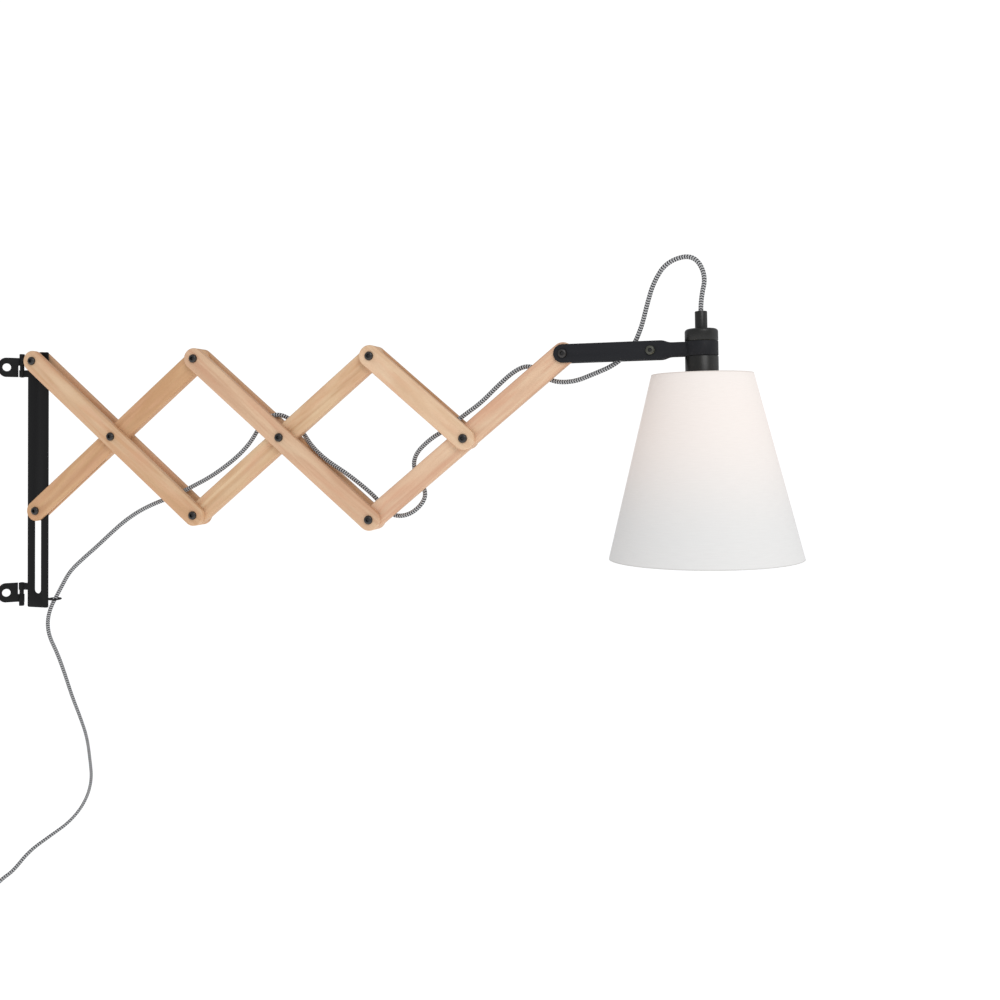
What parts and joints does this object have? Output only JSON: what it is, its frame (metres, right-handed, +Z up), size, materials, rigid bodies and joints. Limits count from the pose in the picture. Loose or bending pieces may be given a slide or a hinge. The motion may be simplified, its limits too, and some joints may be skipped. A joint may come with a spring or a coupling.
{
  "type": "accordion wall lamp",
  "caption": "Wall lamp whose conical shade hangs from a folding scissor arm of wooden slats, on a slotted steel bar that swings on two wall ears.",
  "frame": {"origin": "on the wall's face, midway between the two wall screws", "axes": "+X along the wall towards the arm, -Y out of the wall, +Z up"},
  "size_m": [0.9451, 0.6705, 0.8889],
  "materials": {
    "side_slat_wood": "oiled",
    "riser_slat_wood": "oiled",
    "black_steel": "satin powder coat",
    "black_fittings": "satin",
    "black_fasteners": "black zinc",
    "clamp_fasteners": "black zinc",
    "bush_plastic": "matt",
    "socket_plastic": "satin",
    "socket_insulator": "matt",
    "contact_brass": "plain",
    "shade_fabric": "matt",
    "white_wire": "satin",
    "bulb_glass": "frosted",
    "bulb_base_metal": "plain",
    "textile_cord": "woven",
    "tie_fabric": "woven",
    "plug_plastic": "matt",
    "plug_pin_metal": "nickel"
  },
  "bodies": {
    "wall_ears": {"upper_wall_ear": "black_steel", "lower_wall_ear": "black_steel", "upper_hinge_pin": "black_fittings", "lower_hinge_pin": "black_fittings", "upper_hinge_sleeve": "black_fittings", "lower_hinge_sleeve": "black_fittings", "cord_tail": "textile_cord", "cord_coil": "textile_cord", "coil_tie": "tie_fabric", "plug_body": "plug_plastic", "plug_pins": "plug_pin_metal"},
    "bracket": {"slotted_bar": "black_steel", "bar_washers": "black_fittings", "cord_ring": "black_steel"},
    "first_slat": {"first_slat_front": "side_slat_wood", "first_slat_rear": "side_slat_wood", "first_slat_bolts": "black_fasteners", "first_slat_nuts": "black_fasteners", "cord_inner_span": "textile_cord"},
    "wall_riser": {"wall_riser_slat": "riser_slat_wood", "slide_bush": "bush_plastic", "slide_bolt": "black_fasteners", "slide_nut": "black_fasteners"},
    "middle_riser": {"middle_riser_slat": "riser_slat_wood"},
    "second_slat": {"second_slat_front": "side_slat_wood", "second_slat_rear": "side_slat_wood", "second_slat_bolts": "black_fasteners", "second_slat_nuts": "black_fasteners", "cord_middle_span": "textile_cord"},
    "outer_riser": {"outer_riser_slat": "riser_slat_wood", "cord_outer_span": "textile_cord"},
    "short_slat": {"short_slat_front": "side_slat_wood", "short_slat_rear": "side_slat_wood", "short_slat_bolts": "black_fasteners", "short_slat_nuts": "black_fasteners"},
    "head": {"head_strap": "black_steel", "head_pivot_bolt": "black_fasteners", "head_pivot_nut": "black_fasteners", "clamp_bolt": "clamp_fasteners", "clamp_nut": "clamp_fasteners", "clamp_spacer": "black_fittings", "socket_cap": "socket_plastic", "socket_body": "socket_plastic", "socket_core": "socket_insulator", "thread_shell": "contact_brass", "centre_contact": "contact_brass", "cord_gland": "socket_plastic", "lampshade": "shade_fabric", "shade_carrier": "white_wire", "bottom_hoop": "white_wire", "shade_ring_nut": "socket_plastic", "bulb_base": "bulb_base_metal", "bulb_glass": "bulb_glass", "cord_head_loop": "textile_cord"}
  },
  "joints": [
    {"name": "wall_swing", "type": "hinge", "parent": "wall_ears", "child": "bracket", "pos_m": [0.018, -0.0035, 0], "axis": [0, 0, -1], "range_deg": [-2, 90], "deforming": ["cord_tail"]},
    {"name": "arm_fold", "type": "hinge", "parent": "bracket", "child": "first_slat", "pos_m": [0.03677, -0.01925, 0.1535], "axis": [0.6428, 0.766, 0], "range_deg": [-1, 36], "deforming": ["cord_inner_span", "cord_middle_span", "cord_outer_span"]},
    {"name": "wall_cross_pivot", "type": "hinge", "parent": "first_slat", "child": "wall_riser", "pos_m": [0.12479, -0.09311, 0.05708], "axis": [0.6428, 0.766, 0], "range_deg": [-72, 2]},
    {"name": "first_lower_pivot", "type": "hinge", "parent": "first_slat", "child": "middle_riser", "pos_m": [0.21282, -0.16697, -0.03934], "axis": [0.6428, 0.766, 0], "range_deg": [-72, 2]},
    {"name": "middle_cross_pivot", "type": "hinge", "parent": "middle_riser", "child": "second_slat", "pos_m": [0.30084, -0.24083, 0.05708], "axis": [0.6428, 0.766, 0], "range_deg": [-2, 72]},
    {"name": "second_lower_pivot", "type": "hinge", "parent": "second_slat", "child": "outer_riser", "pos_m": [0.38886, -0.31469, -0.03934], "axis": [0.6428, 0.766, 0], "range_deg": [-72, 2]},
    {"name": "outer_cross_pivot", "type": "hinge", "parent": "outer_riser", "child": "short_slat", "pos_m": [0.47689, -0.38855, 0.05708], "axis": [0.6428, 0.766, 0], "range_deg": [-2, 72]},
    {"name": "head_tilt", "type": "hinge", "parent": "outer_riser", "child": "head", "pos_m": [0.56491, -0.46241, 0.1535], "axis": [0.6428, 0.766, 0], "range_deg": [-45, 55], "deforming": ["cord_head_loop"]}
  ],
  "couplings": [
    {"joint": "wall_cross_pivot", "follows": "arm_fold", "ratio": -2},
    {"joint": "first_lower_pivot", "follows": "arm_fold", "ratio": -2},
    {"joint": "middle_cross_pivot", "follows": "arm_fold", "ratio": 2},
    {"joint": "second_lower_pivot", "follows": "arm_fold", "ratio": -2},
    {"joint": "outer_cross_pivot", "follows": "arm_fold", "ratio": 2}
  ]
}
